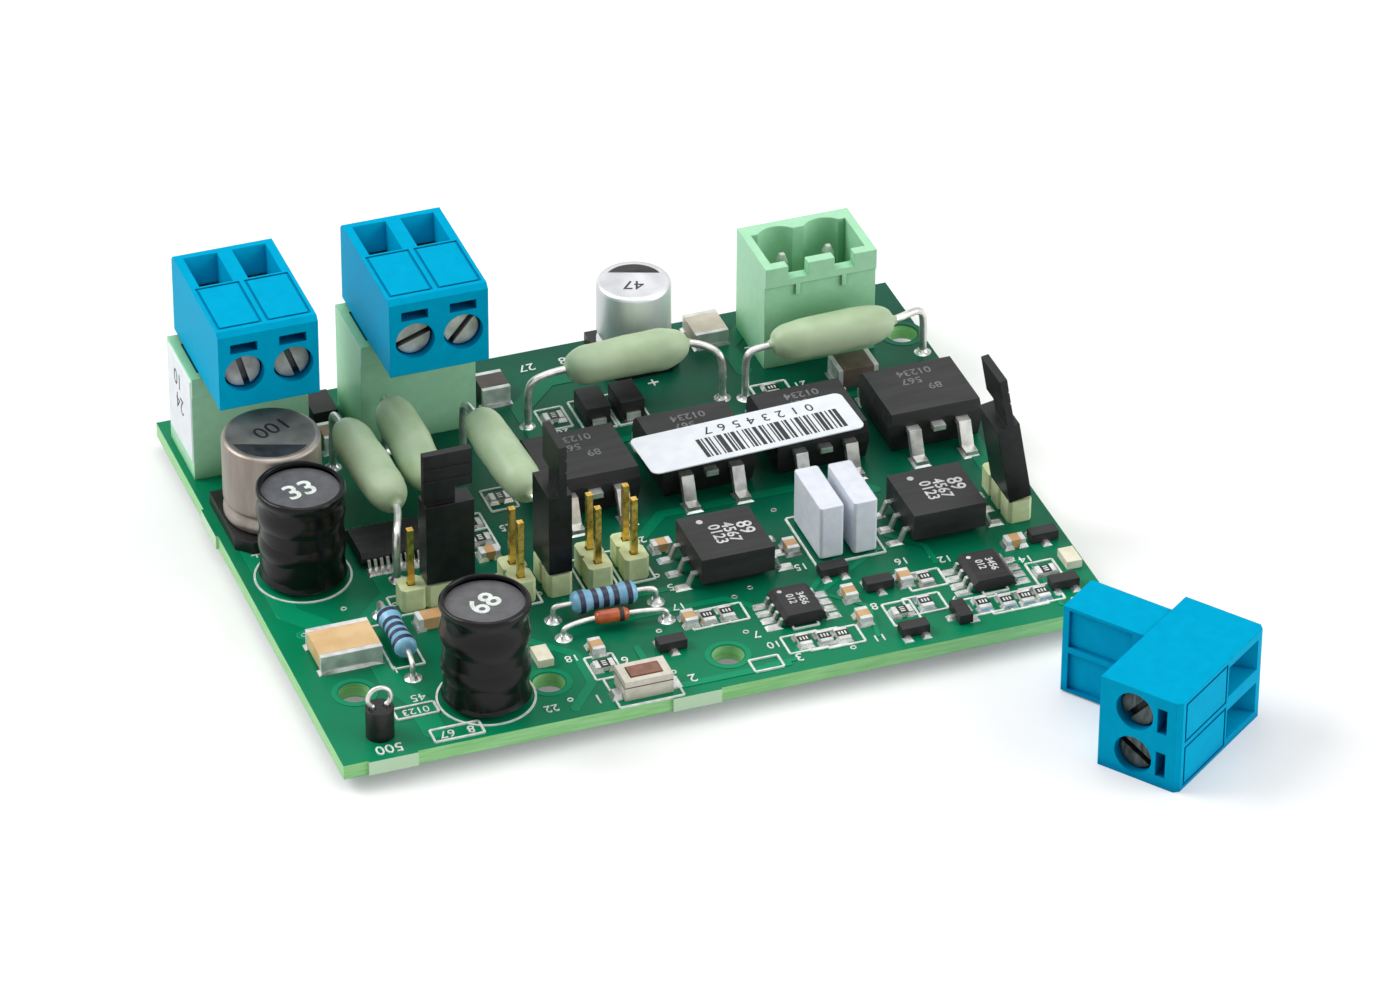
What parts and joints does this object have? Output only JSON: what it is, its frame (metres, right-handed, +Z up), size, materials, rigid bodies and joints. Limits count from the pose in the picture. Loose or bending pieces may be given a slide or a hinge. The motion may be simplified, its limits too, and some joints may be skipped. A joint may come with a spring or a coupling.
{
  "type": "speaker line isolator module",
  "caption": "Bare circuit board with pluggable screw terminals, power resistors, transistors, isolators and option jumpers, with a loose terminal plug beside it.",
  "frame": {"origin": "middle of the board's underside", "axes": "+Z up from the board to its parts, +Y to the edge with the terminal headers, +X to the right seen from the front edge"},
  "size_m": [0.0879, 0.0899, 0.0246],
  "materials": {
    "board_green": "solder-resist green, semi-gloss",
    "header_green": "moulded, pale mint",
    "plug_blue": "moulded, satin",
    "black_plastic": "moulded, fine grained",
    "strip_green": "moulded, pale olive",
    "tinned_metal": "tinned, bright",
    "gold_metal": "gold-plated",
    "sage_lacquer": "dipped lacquer, satin",
    "blue_lacquer": "lacquer with dark bands",
    "orange_glass": "tinted glass",
    "grey_plastic": "moulded, pale grey",
    "sleeve_black": "shrunk sleeve, glossy",
    "ferrite": "sintered ferrite, matt",
    "copper": "enamelled copper wire",
    "can_metal": "drawn, satin",
    "ceramic_tan": "fired ceramic",
    "lamp_cream": "cast resin, cream",
    "frame_cream": "bent metal, bright",
    "button_brown": "moulded, brown",
    "label_white": "printed paper"
  },
  "bodies": {
    "module": {"circuit_board": "board_green", "header_a": "header_green", "header_b": "header_green", "header_c": "header_green", "header_pins": "tinned_metal", "loose_plug_housing": "plug_blue", "loose_plug_contacts": "gold_metal", "option_strips": "strip_green", "option_pins": "gold_metal", "power_resistor_1": "sage_lacquer", "power_resistor_2": "sage_lacquer", "power_resistor_3": "sage_lacquer", "power_resistor_4": "sage_lacquer", "power_resistor_5": "sage_lacquer", "film_resistors": "blue_lacquer", "glass_diode": "orange_glass", "film_capacitors": "grey_plastic", "wire_leads": "tinned_metal", "inductor_sleeves": "sleeve_black", "inductor_cores": "ferrite", "inductor_windings": "copper", "large_capacitor_can": "can_metal", "small_capacitor_can": "can_metal", "capacitor_bases": "black_plastic", "power_transistors": "black_plastic", "isolators": "black_plastic", "control_chips": "black_plastic", "small_semiconductors": "black_plastic", "package_leads": "tinned_metal", "chip_resistors": "black_plastic", "ceramic_capacitors": "ceramic_tan", "chip_ends": "tinned_metal", "indicator_lamps": "lamp_cream", "button_frame": "frame_cream", "test_post_bead": "black_plastic", "test_post_loop": "tinned_metal", "bar_label": "label_white"},
    "plug_a": {"plug_a_housing": "plug_blue", "plug_a_contacts": "gold_metal"},
    "plug_b": {"plug_b_housing": "plug_blue", "plug_b_contacts": "gold_metal"},
    "plug_a_screw_1": {"plug_a_screw_1": "tinned_metal"},
    "plug_a_clamp_1": {"plug_a_clamp_1": "gold_metal"},
    "plug_a_screw_2": {"plug_a_screw_2": "tinned_metal"},
    "plug_a_clamp_2": {"plug_a_clamp_2": "gold_metal"},
    "plug_b_screw_1": {"plug_b_screw_1": "tinned_metal"},
    "plug_b_clamp_1": {"plug_b_clamp_1": "gold_metal"},
    "plug_b_screw_2": {"plug_b_screw_2": "tinned_metal"},
    "plug_b_clamp_2": {"plug_b_clamp_2": "gold_metal"},
    "loose_plug_screw_1": {"loose_plug_screw_1": "tinned_metal"},
    "loose_plug_clamp_1": {"loose_plug_clamp_1": "gold_metal"},
    "loose_plug_screw_2": {"loose_plug_screw_2": "tinned_metal"},
    "loose_plug_clamp_2": {"loose_plug_clamp_2": "gold_metal"},
    "jumper_1": {"jumper_1": "black_plastic", "jumper_1_clip": "gold_metal"},
    "jumper_2": {"jumper_2": "black_plastic", "jumper_2_clip": "gold_metal"},
    "jumper_3": {"jumper_3": "black_plastic", "jumper_3_clip": "gold_metal"},
    "test_button": {"test_button": "button_brown"}
  },
  "joints": [
    {"name": "plug_a_pull", "type": "slide", "parent": "module", "child": "plug_a", "axis": [0, 0, 1], "range_m": [0, 0.012]},
    {"name": "plug_b_pull", "type": "slide", "parent": "module", "child": "plug_b", "axis": [0, 0, 1], "range_m": [0, 0.012]},
    {"name": "plug_a_screw_1_turn", "type": "hinge", "parent": "plug_a", "child": "plug_a_screw_1", "pos_m": [-0.03574, 0.0246, 0.01815], "axis": [0, 1, 0], "range_deg": [0, 1728]},
    {"name": "plug_a_clamp_1_slide", "type": "slide", "parent": "plug_a", "child": "plug_a_clamp_1", "axis": [0, -1, 0], "range_m": [0, 0.0024]},
    {"name": "plug_a_screw_2_turn", "type": "hinge", "parent": "plug_a", "child": "plug_a_screw_2", "pos_m": [-0.03066, 0.0246, 0.01815], "axis": [0, 1, 0], "range_deg": [0, 1728]},
    {"name": "plug_a_clamp_2_slide", "type": "slide", "parent": "plug_a", "child": "plug_a_clamp_2", "axis": [0, -1, 0], "range_m": [0, 0.0024]},
    {"name": "plug_b_screw_1_turn", "type": "hinge", "parent": "plug_b", "child": "plug_b_screw_1", "pos_m": [-0.01794, 0.0246, 0.01815], "axis": [0, 1, 0], "range_deg": [0, 1728]},
    {"name": "plug_b_clamp_1_slide", "type": "slide", "parent": "plug_b", "child": "plug_b_clamp_1", "axis": [0, -1, 0], "range_m": [0, 0.0024]},
    {"name": "plug_b_screw_2_turn", "type": "hinge", "parent": "plug_b", "child": "plug_b_screw_2", "pos_m": [-0.01286, 0.0246, 0.01815], "axis": [0, 1, 0], "range_deg": [0, 1728]},
    {"name": "plug_b_clamp_2_slide", "type": "slide", "parent": "plug_b", "child": "plug_b_clamp_2", "axis": [0, -1, 0], "range_m": [0, 0.0024]},
    {"name": "loose_plug_screw_1_turn", "type": "hinge", "parent": "module", "child": "loose_plug_screw_1", "pos_m": [0.04149, -0.04769, 0.00634], "axis": [0.8039, 0.5948, 0], "range_deg": [0, 1728]},
    {"name": "loose_plug_clamp_1_slide", "type": "slide", "parent": "module", "child": "loose_plug_clamp_1", "axis": [-0.8039, -0.5948, 0], "range_m": [0, 0.0024]},
    {"name": "loose_plug_screw_2_turn", "type": "hinge", "parent": "module", "child": "loose_plug_screw_2", "pos_m": [0.04149, -0.04769, 0.00126], "axis": [0.8039, 0.5948, 0], "range_deg": [0, 1728]},
    {"name": "loose_plug_clamp_2_slide", "type": "slide", "parent": "module", "child": "loose_plug_clamp_2", "axis": [-0.8039, -0.5948, 0], "range_m": [0, 0.0024]},
    {"name": "jumper_1_pull", "type": "slide", "parent": "module", "child": "jumper_1", "axis": [0, 0, 1], "range_m": [0, 0.01]},
    {"name": "jumper_2_pull", "type": "slide", "parent": "module", "child": "jumper_2", "axis": [0, 0, 1], "range_m": [0, 0.01]},
    {"name": "jumper_3_pull", "type": "slide", "parent": "module", "child": "jumper_3", "axis": [-0.1736, 0, 0.9848], "range_m": [0, 0.01]},
    {"name": "test_button_press", "type": "slide", "parent": "module", "child": "test_button", "axis": [0, 0, -1], "range_m": [0, 0.00025], "stiffness_N_per_m": 6400}
  ],
  "couplings": [
    {"joint": "plug_a_screw_1_turn", "follows": "plug_a_clamp_1_slide", "rad_per_m": 12566},
    {"joint": "plug_a_screw_2_turn", "follows": "plug_a_clamp_2_slide", "rad_per_m": 12566},
    {"joint": "plug_b_screw_1_turn", "follows": "plug_b_clamp_1_slide", "rad_per_m": 12566},
    {"joint": "plug_b_screw_2_turn", "follows": "plug_b_clamp_2_slide", "rad_per_m": 12566},
    {"joint": "loose_plug_screw_1_turn", "follows": "loose_plug_clamp_1_slide", "rad_per_m": 12566},
    {"joint": "loose_plug_screw_2_turn", "follows": "loose_plug_clamp_2_slide", "rad_per_m": 12566}
  ]
}
